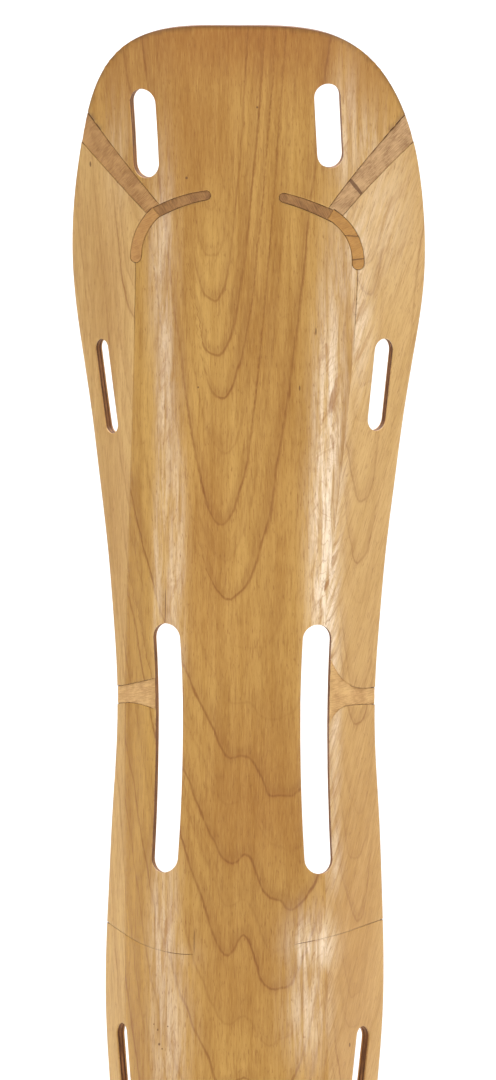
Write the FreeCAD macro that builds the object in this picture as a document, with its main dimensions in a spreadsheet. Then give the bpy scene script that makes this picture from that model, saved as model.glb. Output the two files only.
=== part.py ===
"""Moulded plywood leg splint, a parametric FreeCAD document.

The splint stands upright: +Z runs along its length to the thigh end, the side
that faces away from the leg bulges towards -Y, and the leg lies in the hollow
on the +Y side. Five veneer layers are glued up over one mould surface. Each
layer is a slice of that mould surface, trimmed to the outline of the splint,
cut into the separate pieces of veneer that were laid side by side, and
thickened along the surface normal. Lengths are in millimetres.
"""
import FreeCAD, Part
import math
import os

import Sketcher
from FreeCAD import Vector

doc = FreeCAD.newDocument("leg_splint")


# ---------------------------------------------------------------- dimensions

SIZES = {
    # the whole splint
    "overall_length": 1067,
    "thigh_end_depth": 140,      # length over which the thigh end rounds off
    "foot_end_depth": 105,       # length over which the foot end rounds off
    "end_squareness": 3.7,       # exponent across the splint, 2 is an ellipse
    "end_roundness": 2.8,        # exponent along the splint
    "thigh_end_shift": -3,       # the thigh end was trimmed off centre
    "thigh_end_shift_reach": 70, # the shift fades out over this length
    "centre_crown": 900,         # radius of the almost flat band down the middle
    "mould_offset": -7.4,        # brings the middle of the overall depth to Y = 0
    # veneers
    "face_thickness": 0.9,
    "crossband_thickness": 1.1,
    "core_thickness": 1.2,
    "glue_line": 0.02,
    "joint_gap": 0.15,           # gap between veneers laid side by side
    "knee_slot_bow_radius": 1400,    # the slot's middle bows towards the middle of the splint
    # opening that keeps the heel off the wood
    "heel_opening_width": 46,
    "heel_opening_length": 96,
    "heel_opening_drop": 886,
    # joints between veneers of one layer, across the splint
    "outer_joint_left": -66,
    "outer_joint_right": 47,
    "core_joint_left": -58,
    "core_joint_right": 27,
    "inner_joint_left": -22,
    "inner_joint_right": 24,
    # joints between crossbands, measured down from the thigh end
    "outer_crossband_first": 262,
    "outer_crossband_second": 548,
    "outer_crossband_third": 812,
    "inner_crossband_first": 312,
    "inner_crossband_second": 604,
    "inner_crossband_third": 848,
    # darts, the cuts that let flat veneer take the double curve
    "dart_recess": 0.35,         # how far a sunken dart filler lies below the face
    "dart_play": 0.25,           # gap around a dart filler
    "stem_width_at_edge": 14,
    "stem_width_at_fork": 8.5,
    "arm_width": 6.2,
    "arm_taper": 1.2,            # how much narrower an inner arm ends
    "calf_slit_width": 0.5,
}

# Section of the mould surface at each station, measured down from the thigh end:
# half width of the splint, half width of the middle band, radius of the bend
# beside it, slope of the flank in degrees, and how far the middle lies towards +Y.
STATION_KEYS = ("drop", "half_width", "band", "bend_radius", "flank_angle", "spine")
STATIONS = {
    "lip": (0, 98.4, 26, 96, 24, -43),
    "shoulder": (60, 97.4, 32, 66, 33, -32),
    "widest": (124, 98.4, 36, 48, 39, -25),
    "thigh": (220, 86.4, 37, 36, 43, -18),
    "above_knee": (310, 75.8, 35, 30, 46, -9),
    "knee": (380, 71.7, 34, 28, 48, -4),
    "below_knee": (450, 75, 34, 28, 52, -5),
    "calf": (530, 77.6, 34, 28, 55, -11),
    "lower_calf": (620, 71.8, 31, 27, 57, -13),
    "upper_ankle": (700, 60, 26, 25, 60, -9),
    "ankle": (780, 52, 22, 23, 63, -7),
    "heel": (880, 57, 18, 24, 70, -22),
    "foot": (970, 59, 16, 24, 74.5, -33),
    "toe": (1067, 58, 16, 26, 72, -31),
}

# Strap slots: width and length on the surface, centre below the thigh end and out
# from the middle, lean of the lower end towards the middle, and how far the cut is
# tilted away from square to the surface. They were cut by hand, so the two sides differ.
SLOT_KEYS = ("width", "length", "drop", "reach", "lean", "tilt")
SLOTS = {
    "thigh_slot_left": (16.2, 49.7, 60, 56.4, 3.3, 0),
    "thigh_slot_right": (15, 47.3, 55, 46.5, -3, 0),
    "side_slot_left": (10.6, 53, 200.8, 78, 11, 0),
    "side_slot_right": (13.4, 51.5, 198.6, 74.6, 7.5, 14),
    "knee_slot_left": (16.7, 138.5, 401, 41.8, -0.4, 0),
    "knee_slot_right": (16.7, 138.5, 401, 40.4, -1.1, 0),
    "calf_slot_left": (12, 76, 592.5, 64.5, 10.5, 0),
    "calf_slot_right": (12, 76, 593, 64, 11, 0),
    "ankle_slot_left": (12, 96, 742, 32, 3, 0),
    "ankle_slot_right": (12, 96, 742, 32, 3, 0),
    "foot_slot_left": (10, 44, 962, 50.5, 0, 0),
    "foot_slot_right": (10, 44, 962, 50.5, 0, 0),
}

sheet = doc.addObject("Spreadsheet::Sheet", "Sizes")


def add_size(row, alias, value):
    sheet.set(f"A{row}", alias)
    sheet.set(f"B{row}", str(value))
    sheet.setAlias(f"B{row}", alias)


row = 1
for alias, value in SIZES.items():
    add_size(row, alias, value)
    row += 1
for keys, table in ((STATION_KEYS, STATIONS), (SLOT_KEYS, SLOTS)):
    for name, values in table.items():
        for key, value in zip(keys, values, strict=True):
            add_size(row, f"{name}_{key}", value)
            row += 1
doc.recompute()


def size(alias):
    """A number from the sheet."""
    return float(getattr(sheet, alias))


# ------------------------------------------------------------- mould surface

def smooth_through(stops, key, drop):
    """Value of one station quantity at a drop, on a smooth curve through the stations."""
    xs = [size(f"{name}_drop") for name in stops]
    ys = [size(f"{name}_{key}") for name in stops]
    slopes = [(ys[i + 1] - ys[i]) / (xs[i + 1] - xs[i]) for i in range(len(xs) - 1)]
    tangents = [slopes[0] * 0.5]
    for before, after in zip(slopes, slopes[1:]):
        rising = before * after > 0
        tangents.append(2 * before * after / (before + after) if rising else 0)
    tangents.append(slopes[-1] * 0.5)
    if drop <= xs[0]:
        return ys[0] + tangents[0] * (drop - xs[0])
    if drop >= xs[-1]:
        return ys[-1] + tangents[-1] * (drop - xs[-1])
    i = max(k for k in range(len(xs) - 1) if xs[k] <= drop)
    step = xs[i + 1] - xs[i]
    t = (drop - xs[i]) / step
    return (
        (1 + 2 * t) * (1 - t) ** 2 * ys[i]
        + t * (1 - t) ** 2 * step * tangents[i]
        + t * t * (3 - 2 * t) * ys[i + 1]
        + t * t * (t - 1) * step * tangents[i + 1]
    )


def at_drop(key, drop):
    return smooth_through(list(STATIONS), key, drop)


def section(drop):
    """The section's numbers at a drop: band, bend radius, flank slope, spine."""
    return (
        at_drop("band", drop),
        at_drop("bend_radius", drop),
        math.radians(at_drop("flank_angle", drop)),
        at_drop("spine", drop) + size("mould_offset"),
    )


def mould_y(x, z):
    """Height of the outer mould surface at a place across and along the splint."""
    band, radius, slope, spine = section(size("overall_length") - z)
    out = abs(x)
    crown = out * out / (2 * size("centre_crown"))
    bend = min(max(out - band, 0), radius * math.sin(slope))
    rise = radius - math.sqrt(radius * radius - bend * bend)
    rise += max(out - band - bend, 0) * math.tan(slope)
    return spine + crown + rise


def mould_point(across, z):
    """Point of the outer mould surface, given the distance along the section."""
    band, radius, slope, _spine = section(size("overall_length") - z)
    out = abs(across)
    if out <= band:
        x = out
    elif out <= band + radius * slope:
        x = band + radius * math.sin((out - band) / radius)
    else:
        x = band + radius * math.sin(slope) + (out - band - radius * slope) * math.cos(slope)
    x = math.copysign(x, across)
    return Vector(x, mould_y(x, z), z)


def normal_at(x, z):
    """Unit normal of the mould surface, towards the leg."""
    tiny = 0.05
    slope_x = (mould_y(x + tiny, z) - mould_y(x - tiny, z)) / (2 * tiny)
    slope_z = (mould_y(x, z + tiny) - mould_y(x, z - tiny)) / (2 * tiny)
    return Vector(-slope_x, 1, -slope_z).normalize()


SKIN_ROWS = 30
SKIN_COLUMNS = 37
SKIN_REACH = 128                 # half length of the section that the skin covers
SKIN_OVERRUN = 18                # the skin runs past both ends of the splint


def skin_surface(depth):
    """B-spline surface at a depth below the outer mould surface."""
    grid = []
    length = size("overall_length") + 2 * SKIN_OVERRUN
    for i in range(SKIN_ROWS):
        z = -SKIN_OVERRUN + length * i / (SKIN_ROWS - 1)
        line = []
        for j in range(SKIN_COLUMNS):
            point = mould_point(SKIN_REACH * (2 * j / (SKIN_COLUMNS - 1) - 1), z)
            line.append(point + normal_at(point.x, z) * depth)
        grid.append(line)
    surface = Part.BSplineSurface()
    surface.interpolate(grid)
    return surface


# ------------------------------------------------------------------- outline

PRISM_REACH = 160                # cutting prisms run this far to each side of the splint
SIDE_OUTLINE_STEPS = 22          # outline points along each side, between the rounded ends
NEAR_END = (0.012, 0.05, 0.12, 0.24, 0.42, 0.68)     # outline points in a rounded end


def end_half_width(full, distance, depth):
    """Half width of a rounded end at a distance from its tip."""
    if distance >= depth:
        return full
    rest = (1 - distance / depth) ** size("end_roundness")
    return full * (1 - rest) ** (1 / size("end_squareness"))


def outline_half_width(drop):
    half = at_drop("half_width", drop)
    half = end_half_width(half, drop, size("thigh_end_depth"))
    return end_half_width(half, size("overall_length") - drop, size("foot_end_depth"))


def outline_shift(drop):
    """How far the trimmed thigh end sits to one side, fading out down the splint."""
    fade = max(0, 1 - drop / size("thigh_end_shift_reach"))
    return size("thigh_end_shift") * fade * fade * (3 - 2 * fade)


def side_drops():
    """Drops of the outline points: close together where the ends turn."""
    length = size("overall_length")
    drops = [size("thigh_end_depth") * part for part in NEAR_END]
    stop = length - size("foot_end_depth")
    start = size("thigh_end_depth")
    step = (stop - start) / SIDE_OUTLINE_STEPS
    drops += [start + step * k for k in range(SIDE_OUTLINE_STEPS + 1)]
    drops += [length - size("foot_end_depth") * part for part in reversed(NEAR_END)]
    return drops


def outline_points(depth):
    """Outline at a depth, its points moved in along the surface normal."""
    length = size("overall_length")
    right = [Vector(outline_shift(d) + outline_half_width(d), 0, length - d) for d in side_drops()]
    left = [Vector(outline_shift(d) - outline_half_width(d), 0, length - d) for d in side_drops()]
    top = Vector(outline_shift(0), 0, length)
    bottom = Vector(0, 0, 0)
    moved = []
    for p in [top] + right + [bottom] + left[::-1]:
        n = normal_at(p.x, p.z)
        moved.append(Vector(p.x + n.x * depth, -PRISM_REACH, p.z + n.z * depth))
    return moved


def closed_curve(points):
    curve = Part.BSplineCurve()
    curve.interpolate(Points=points, PeriodicFlag=True)
    return Part.Wire([curve.toShape()])


def prism(wire):
    return Part.Face(wire).extrude(Vector(0, 2 * PRISM_REACH, 0))


def feature(label, shape):
    """A document object that holds a shape made by Part's own functions."""
    obj = doc.addObject("Part::Feature", label)
    obj.Label = label
    obj.Shape = shape
    obj.Placement = FreeCAD.Placement()
    return obj


# --------------------------------------------------------------- strap slots

def check_sketch(sketch):
    if sketch.solve() != 0 or not sketch.FullyConstrained:
        raise RuntimeError(f"{sketch.Label} is not fully constrained")


def slot_sketch(label, width, length):
    """A straight slot with round ends, centred on the sketch origin."""
    sketch = doc.addObject("Sketcher::SketchObject", label)
    r, reach = size(width) / 2, (size(length) - size(width)) / 2
    axis = Vector(0, 0, 1)
    sketch.addGeometry(Part.LineSegment(Vector(-r, -reach, 0), Vector(-r, reach, 0)))
    sketch.addGeometry(Part.LineSegment(Vector(r, -reach, 0), Vector(r, reach, 0)))
    sketch.addGeometry(Part.ArcOfCircle(Part.Circle(Vector(0, reach, 0), axis, r), 0, math.pi))
    lower_end = Part.Circle(Vector(0, -reach, 0), axis, r)
    sketch.addGeometry(Part.ArcOfCircle(lower_end, math.pi, 2 * math.pi))
    for ends in ((2, 1, 1, 2), (2, 2, 0, 2), (3, 1, 0, 1), (3, 2, 1, 1)):
        sketch.addConstraint(Sketcher.Constraint("Tangent", *ends))
    sketch.addConstraint(Sketcher.Constraint("Vertical", 0))
    sketch.addConstraint(Sketcher.Constraint("Equal", 2, 3))
    sketch.addConstraint(Sketcher.Constraint("Symmetric", 2, 3, 3, 3, -1, 1))
    radius = sketch.addConstraint(Sketcher.Constraint("Radius", 2, r))
    centres = sketch.addConstraint(Sketcher.Constraint("DistanceY", 3, 3, 2, 3, 2 * reach))
    sketch.renameConstraint(radius, "end_radius")
    sketch.renameConstraint(centres, "centres")
    sketch.setExpression("Constraints.end_radius", f"Sizes.{width} / 2")
    sketch.setExpression("Constraints.centres", f"Sizes.{length} - Sizes.{width}")
    check_sketch(sketch)
    return sketch


def bowed_slot_sketch(label, width, length, bow_radius):
    """A slot with round ends that follows an arc whose centre lies towards -X."""
    sketch = doc.addObject("Sketcher::SketchObject", label)
    bow, r = size(bow_radius), size(width) / 2
    half_angle = math.asin((size(length) / 2 - r) / bow)
    axis = Vector(0, 0, 1)
    centre = Vector(-bow, 0, 0)
    upper = centre + Vector(math.cos(half_angle), math.sin(half_angle), 0) * bow
    lower = Vector(upper.x, -upper.y, 0)
    inner_side = Part.Circle(centre, axis, bow - r)
    outer_side = Part.Circle(centre, axis, bow + r)
    upper_end = Part.Circle(upper, axis, r)
    lower_end = Part.Circle(lower, axis, r)
    sketch.addGeometry(Part.ArcOfCircle(inner_side, -half_angle, half_angle))
    sketch.addGeometry(Part.ArcOfCircle(outer_side, -half_angle, half_angle))
    sketch.addGeometry(Part.ArcOfCircle(upper_end, half_angle, half_angle + math.pi))
    sketch.addGeometry(Part.ArcOfCircle(lower_end, -half_angle - math.pi, -half_angle))
    for ends in ((2, 1, 1, 2), (2, 2, 0, 2), (3, 1, 0, 1), (3, 2, 1, 1)):
        sketch.addConstraint(Sketcher.Constraint("Tangent", *ends))
    sketch.addConstraint(Sketcher.Constraint("Coincident", 0, 3, 1, 3))
    sketch.addConstraint(Sketcher.Constraint("PointOnObject", 0, 3, -1))
    reach = (size(length) - size(width)) / 2
    bound = {
        "bow": (("DistanceX", 0, 3, -1, 1, bow), f"Sizes.{bow_radius}"),
        "near": (("Radius", 0, bow - r), f"Sizes.{bow_radius} - Sizes.{width} / 2"),
        "far": (("Radius", 1, bow + r), f"Sizes.{bow_radius} + Sizes.{width} / 2"),
        "up": (("DistanceY", -1, 1, 2, 3, reach), f"(Sizes.{length} - Sizes.{width}) / 2"),
        "down": (("DistanceY", 3, 3, -1, 1, reach), f"(Sizes.{length} - Sizes.{width}) / 2"),
    }
    for name, (terms, expression) in bound.items():
        sketch.renameConstraint(sketch.addConstraint(Sketcher.Constraint(*terms)), name)
        sketch.setExpression(f"Constraints.{name}", expression)
    check_sketch(sketch)
    return sketch


def place_on_mould(obj, x, z, lean=0, tilt=0):
    """Puts an object's XY plane on the mould surface, its Z axis along the normal.

    The lean turns it about the normal; the tilt then swings it about its Y axis."""
    tiny = 0.1
    normal = normal_at(x, z)
    along = Vector(0, mould_y(x, z + tiny) - mould_y(x, z - tiny), 2 * tiny).normalize()
    across = along.cross(normal).normalize()
    turn = FreeCAD.Rotation(across, along, normal, "ZYX")
    turn = turn.multiply(FreeCAD.Rotation(Vector(0, 1, 0), tilt))
    turn = turn.multiply(FreeCAD.Rotation(Vector(0, 0, 1), lean))
    obj.Placement = FreeCAD.Placement(Vector(x, mould_y(x, z), z), turn)


SLOT_CUT_REACH = 26              # slot cutters run this far to each side of the mould surface


def cutter_from(sketch, label):
    """A sketch swept both ways along its normal."""
    cutter = doc.addObject("Part::Extrusion", label)
    cutter.Base = sketch
    cutter.DirMode = "Normal"
    cutter.Solid = True
    cutter.LengthFwd = SLOT_CUT_REACH
    cutter.LengthRev = SLOT_CUT_REACH
    return cutter


def slot_cutter(name):
    """Cutter for one strap slot, placed on the mould surface at the slot's middle."""
    side = -1 if name.endswith("left") else 1
    outline = (f"{name}_sketch", f"{name}_width", f"{name}_length")
    lean = side * size(f"{name}_lean")
    if name.startswith("knee"):
        sketch = bowed_slot_sketch(*outline, "knee_slot_bow_radius")
        lean += 180 if side < 0 else 0
    else:
        sketch = slot_sketch(*outline)
    z = size("overall_length") - size(f"{name}_drop")
    place_on_mould(sketch, side * size(f"{name}_reach"), z, lean, -side * size(f"{name}_tilt"))
    return cutter_from(sketch, f"{name}_cutter")


def heel_cutter():
    """Cutter for the oval heel opening."""
    sketch = slot_sketch("heel_opening_sketch", "heel_opening_width", "heel_opening_length")
    place_on_mould(sketch, 0, size("overall_length") - size("heel_opening_drop"))
    return cutter_from(sketch, "heel_opening_cutter")


slot_cutters = [slot_cutter(name) for name in SLOTS]
openings = doc.addObject("Part::Compound", "openings")
openings.Links = slot_cutters + [heel_cutter()]
doc.recompute()


# --------------------------------------------------------------------- darts

OVERRUN = 20                     # seams and regions run past the ends of the splint
SIDE_REACH = 150                 # regions run this far out to the sides


RIBBON_PLACES = 9                # places along a ribbon where its width is measured out


def ribbon(points, start_width, end_width, round_ends):
    """Prism of a ribbon that runs along a smooth curve through a few points."""
    curve = Part.BSplineCurve()
    curve.interpolate([Vector(x, -PRISM_REACH, z) for x, z in points])
    first, last = curve.FirstParameter, curve.LastParameter
    sides = ([], [])
    for k in range(RIBBON_PLACES):
        part = k / (RIBBON_PLACES - 1)
        at = first + (last - first) * part
        tangent = curve.tangent(at)[0]
        across = Vector(-tangent.z, 0, tangent.x)
        half = (start_width + (end_width - start_width) * part) / 2
        sides[0].append(curve.value(at) + across * half)
        sides[1].append(curve.value(at) - across * half)

    def side_edge(side):
        edge = Part.BSplineCurve()
        edge.interpolate(side)
        return edge.toShape()

    def end_edge(a, b, at, outwards):
        if outwards not in round_ends:
            return Part.LineSegment(a, b).toShape()
        tip = curve.value(at) + curve.tangent(at)[0] * (a - b).Length / 2 * outwards
        return Part.Arc(a, tip, b).toShape()

    edges = [
        side_edge(sides[0]),
        end_edge(sides[0][-1], sides[1][-1], last, 1),
        side_edge(sides[1][::-1]),
        end_edge(sides[1][0], sides[0][0], first, -1),
    ]
    return prism(Part.Wire(edges))


def from_top(points):
    """Places given across and down from the thigh end, as places in X and Z."""
    return [(x, size("overall_length") - drop) for x, drop in points]


# Centre lines of the Y-shaped thigh darts, across and down from the thigh end.
# The stem comes in from the edge to the fork; one arm curves towards the middle
# and one arm curves down the flank.
THIGH_DARTS = {
    "left": {
        "stem": ((-101, 44.8), (-72, 79), (-51, 102)),
        "inner_arm": ((-50.5, 104.5), (-38, 98.5), (-21.5, 94)),
        "outer_arm": ((-49.5, 103.5), (-57, 113), (-61, 128.5)),
    },
    "right": {
        "stem": ((97, 48.8), (68, 80.5), (49.5, 103.5)),
        "inner_arm": ((49.5, 105.5), (37, 100), (21.5, 95)),
        "outer_arm": ((47.5, 104), (58.5, 115), (62.5, 131.5)),
    },
}

# Upper and lower edge of the knee darts, which flare where they meet the knee slots.
KNEE_DARTS = {
    "left": (
        ((-80, 368.4), (-71.2, 367.8), (-53.3, 363.5), (-44, 361.5)),
        ((-80, 377.4), (-71.2, 377.4), (-62, 376.8), (-51, 379.2), (-44, 381)),
    ),
    "right": (
        ((80, 367.4), (71, 367.4), (61, 366.7), (55.6, 363), (51.2, 356.9), (46, 346)),
        ((80, 376.5), (71, 376.5), (61, 376.7), (54.7, 377.9), (50.7, 381.8), (46, 391)),
    ),
}
CALF_SLITS = {
    "left": ((-84, 496), (-77, 499.5), (-61, 508), (-47, 512.8), (-25.5, 515.2)),
    "right": ((84, 494.5), (75, 497), (54, 503.7), (42.5, 506.5), (28.8, 509.2)),
}


def knee_dart_prism(hand, play):
    """Prism of one knee dart, its two edges moved apart by some play."""
    upper, lower = KNEE_DARTS[hand]
    edges = []
    for points, shift in ((upper, -play), (lower, play)):
        places = from_top([(x, drop + shift) for x, drop in points])
        curve = Part.BSplineCurve()
        curve.interpolate([Vector(x, -PRISM_REACH, z) for x, z in places])
        edges.append(curve.toShape())
    above, below = edges
    ends = [
        Part.LineSegment(above.Vertexes[k].Point, below.Vertexes[k].Point).toShape()
        for k in (0, -1)
    ]
    return prism(Part.Wire([ends[0], above, ends[1], below]))


def dart_prisms(hand, play):
    """Prisms of one thigh dart's stem and arms, widened by some play."""
    lines = THIGH_DARTS[hand]
    edge_width = size("stem_width_at_edge") + 2 * play
    fork_width = size("stem_width_at_fork") + 2 * play
    arm_width = size("arm_width") + 2 * play
    tip_width = arm_width - size("arm_taper")
    return {
        "stem": ribbon(from_top(lines["stem"]), edge_width, fork_width, ()),
        "inner_arm": ribbon(from_top(lines["inner_arm"]), arm_width, tip_width, (1,)),
        "outer_arm": ribbon(from_top(lines["outer_arm"]), arm_width, arm_width, (1,)),
    }


def filler_prisms(hand):
    """Prisms of the strips that fill one thigh dart, parted where they meet."""
    wide = dart_prisms(hand, size("dart_play"))
    snug = dart_prisms(hand, 0)
    return {
        "stem": snug["stem"].cut([wide["inner_arm"], wide["outer_arm"]]),
        "inner_arm": snug["inner_arm"].cut(wide["outer_arm"]),
        "outer_arm": snug["outer_arm"],
    }


def dart_cutters():
    """Everything that is cut out of the outer face: darts, slits and seams."""
    play = size("dart_play")
    slit = size("calf_slit_width")
    gap = size("joint_gap")
    shapes = []
    for hand in ("left", "right"):
        shapes += dart_prisms(hand, play).values()
        shapes.append(knee_dart_prism(hand, play))
        shapes.append(ribbon(from_top(CALF_SLITS[hand]), slit, slit / 2, (1,)))
        shapes.append(ribbon(from_top(seam_line(hand)), gap, gap, ()))
    return shapes


# How far below a dart's outer arm the seam still runs straight down, where it has
# moved over to the joint between the veneers, and two more places that keep it there.
SEAM_START = -2
SEAM_LEAVES_ARM = 45
SEAM_AT_JOINT = 165
SEAM_ALONG_JOINT = (360, 750)


def seam_line(hand):
    """Seam between the middle and flank veneers, from a dart's arm to the foot end."""
    side = size(f"outer_joint_{hand}")
    arm_x, arm_drop = THIGH_DARTS[hand]["outer_arm"][-1]
    below = [(arm_x, arm_drop + reach) for reach in (SEAM_START, SEAM_LEAVES_ARM)]
    beside = [(side, arm_drop + reach) for reach in (SEAM_AT_JOINT, *SEAM_ALONG_JOINT)]
    return below + beside + [(side, size("overall_length") + OVERRUN)]


# -------------------------------------------------------------------- layers

def trimmed_layer(name, depth):
    """One slice of the mould surface, trimmed to the outline and open at the slots."""
    skin = feature(f"{name}_skin", skin_surface(depth).toShape())
    outline = feature(f"{name}_outline", prism(closed_curve(outline_points(depth))))
    sheet_of_veneer = doc.addObject("Part::Common", f"{name}_sheet")
    sheet_of_veneer.Base = skin
    sheet_of_veneer.Tool = outline
    layer = doc.addObject("Part::Cut", f"{name}_layer")
    layer.Base = sheet_of_veneer
    layer.Tool = openings
    doc.recompute()
    return layer


pieces = []


def thicken(label, source, thickness):
    """A piece of veneer: the source surface thickened towards the leg."""
    piece = doc.addObject("Part::Offset", label)
    piece.Label = label
    piece.Source = source
    piece.setExpression("Value", f"{thickness} - Sizes.glue_line")
    piece.Fill = True
    pieces.append(piece)
    return piece


def region_piece(label, layer, region, thickness):
    """The part of a layer inside a region, thickened into a piece."""
    part = doc.addObject("Part::Common", f"{label}_surface")
    part.Base = layer
    part.Tool = region
    return thicken(label, part, thickness)


def strip_region(label, low, high):
    """Box that takes in everything between two places across the splint."""
    box = doc.addObject("Part::Box", f"{label}_region")
    box.setExpression("Length", f"({high}) - ({low}) - Sizes.joint_gap")
    box.Width = 2 * PRISM_REACH
    box.setExpression("Height", f"Sizes.overall_length + {2 * OVERRUN}")
    box.Placement.Base = Vector(0, -PRISM_REACH, -OVERRUN)
    box.setExpression("Placement.Base.x", f"{low} + Sizes.joint_gap / 2")
    return box


def band_region(label, upper, lower):
    """Box that takes in everything between two drops below the thigh end."""
    box = doc.addObject("Part::Box", f"{label}_region")
    box.Length = 2 * PRISM_REACH
    box.Width = 2 * PRISM_REACH
    box.setExpression("Height", f"({lower}) - ({upper}) - Sizes.joint_gap")
    box.Placement.Base = Vector(-PRISM_REACH, -PRISM_REACH, 0)
    box.setExpression("Placement.Base.z", f"Sizes.overall_length - ({lower}) + Sizes.joint_gap / 2")
    return box


def strips(layer_name, layer, prefix, thickness):
    """Three veneers side by side, their grain along the splint."""
    joints = [f"Sizes.{prefix}_joint_{hand}" for hand in ("left", "right")]
    edges = [f"{-SIDE_REACH}"] + joints + [f"{SIDE_REACH}"]
    for hand, low, high in zip(("left", "centre", "right"), edges, edges[1:]):
        label = f"{layer_name}_{hand}"
        region_piece(label, layer, strip_region(label, low, high), thickness)


def bands(layer_name, layer, thickness):
    """Four veneers end to end, their grain across the splint."""
    joints = [f"Sizes.{layer_name}_{nth}" for nth in ("first", "second", "third")]
    edges = [f"{-OVERRUN}"] + joints + [f"Sizes.overall_length + {OVERRUN}"]
    for part, upper, lower in zip(("thigh", "knee", "calf", "foot"), edges, edges[1:]):
        label = f"{layer_name}_{part}"
        region_piece(label, layer, band_region(label, upper, lower), thickness)


face = "Sizes.face_thickness"
crossband = "Sizes.crossband_thickness"
core = "Sizes.core_thickness"
depths = {
    "outer_face": 0,
    "outer_crossband": size("face_thickness"),
    "core": size("face_thickness") + size("crossband_thickness"),
}
depths["inner_crossband"] = depths["core"] + size("core_thickness")
depths["inner_face"] = depths["inner_crossband"] + size("crossband_thickness")
layers = {name: trimmed_layer(name, depth) for name, depth in depths.items()}

# The outer face is cut by the darts and seams, which leave three loose veneers.
cuts = feature("outer_face_cuts", Part.makeCompound(dart_cutters()))
cut_face = doc.addObject("Part::Cut", "outer_face_cut")
cut_face.Base = layers["outer_face"]
cut_face.Tool = cuts
doc.recompute()


def flank_veneers(shape):
    """The loose flank veneers of each side, from the thigh end down, and the middle one."""
    centre = max(shape.Faces, key=lambda veneer: veneer.Area)
    flanks = {"left": [], "right": []}
    for veneer in sorted(shape.Faces, key=lambda f: -f.CenterOfMass.z):
        if not veneer.isSame(centre):
            flanks["left" if veneer.CenterOfMass.x < 0 else "right"].append(veneer)
    return centre, flanks


centre_veneer, flanks = flank_veneers(cut_face.Shape)
thicken("outer_face_centre", feature("outer_face_centre_surface", centre_veneer), face)
for hand, veneers in flanks.items():
    for part, veneer in zip(("thigh", "knee", "calf"), veneers, strict=True):
        label = f"outer_flank_{part}_{hand}"
        thicken(label, feature(f"{label}_surface", veneer), face)

# The darts are filled with strips of veneer: the stems and the arms towards the
# middle lie a little below the face, the arms down the flanks are flush with it.
sunken = trimmed_layer("sunken_filler", size("dart_recess"))
sunken_thickness = "Sizes.face_thickness - Sizes.dart_recess"
for hand in ("left", "right"):
    for arm, strip in filler_prisms(hand).items():
        label = f"thigh_dart_{arm}_{hand}"
        flush = arm == "outer_arm"
        surface = layers["outer_face"] if flush else sunken
        thickness = face if flush else sunken_thickness
        region_piece(label, surface, feature(f"{label}_region", strip), thickness)
    strip = knee_dart_prism(hand, 0)
    label = f"knee_dart_filler_{hand}"
    region_piece(label, sunken, feature(f"{label}_region", strip), sunken_thickness)

bands("outer_crossband", layers["outer_crossband"], crossband)
strips("core", layers["core"], "core", core)
bands("inner_crossband", layers["inner_crossband"], crossband)
strips("inner_face", layers["inner_face"], "inner", face)
doc.recompute()


# -------------------------------------------------------------------- output

def check_document():
    for obj in doc.Objects:
        if any(word in obj.State for word in ("Invalid", "Error")):
            raise RuntimeError(f"{obj.Label} did not recompute")
    for piece in pieces:
        shape = piece.Shape
        if shape.isNull() or not shape.isValid() or not shape.Solids:
            raise RuntimeError(f"{piece.Label} is not a valid solid")


check_document()
os.makedirs("parts", exist_ok=True)
for piece in pieces:
    piece.Shape.exportStep(os.path.join("parts", f"{piece.Label}.step"))
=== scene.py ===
"""Looks of the moulded plywood leg splint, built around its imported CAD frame.

The frame gives the mould surface: a grid is laid over the outer crossbands, unrolled
as (across, up) in metres, and every veneer is rebuilt on it as one closed mesh with
eased edges, then given a procedural veneer finish.

Across runs from the middle of the splint, up from its foot end, and a drop is the
distance below the thigh end. Depths are measured from the outer face into the wood.
"""
import itertools
import math

import bmesh
import bpy
import numpy as np
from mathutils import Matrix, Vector
from mathutils.geometry import delaunay_2d_cdt


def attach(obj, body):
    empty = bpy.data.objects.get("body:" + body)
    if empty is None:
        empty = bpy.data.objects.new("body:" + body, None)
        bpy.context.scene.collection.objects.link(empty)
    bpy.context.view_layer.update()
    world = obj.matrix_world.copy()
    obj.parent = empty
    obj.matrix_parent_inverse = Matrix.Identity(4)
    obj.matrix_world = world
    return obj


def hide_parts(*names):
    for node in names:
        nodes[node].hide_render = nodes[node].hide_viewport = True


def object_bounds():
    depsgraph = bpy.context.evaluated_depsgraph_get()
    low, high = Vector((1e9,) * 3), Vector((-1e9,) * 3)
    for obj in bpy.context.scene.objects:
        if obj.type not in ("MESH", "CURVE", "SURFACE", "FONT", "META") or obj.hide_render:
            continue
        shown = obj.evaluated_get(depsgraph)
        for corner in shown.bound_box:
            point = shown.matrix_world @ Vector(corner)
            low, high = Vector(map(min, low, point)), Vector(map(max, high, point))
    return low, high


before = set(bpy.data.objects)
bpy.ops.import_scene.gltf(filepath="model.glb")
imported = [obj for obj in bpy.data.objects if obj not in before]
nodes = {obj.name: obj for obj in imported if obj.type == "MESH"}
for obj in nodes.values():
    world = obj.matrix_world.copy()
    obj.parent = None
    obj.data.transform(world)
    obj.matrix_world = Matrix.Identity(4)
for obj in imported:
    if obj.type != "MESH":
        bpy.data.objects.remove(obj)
cad_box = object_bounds()
MM = 0.001
TOP = cad_box[1][2]

OUTER_NODES = sorted(n for n in nodes if n.startswith(("outer_face", "outer_flank")))
INNER_NODES = sorted(n for n in nodes if n.startswith("inner_face"))
FILLER_NODES = sorted(n for n in nodes if "dart" in n)

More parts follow.
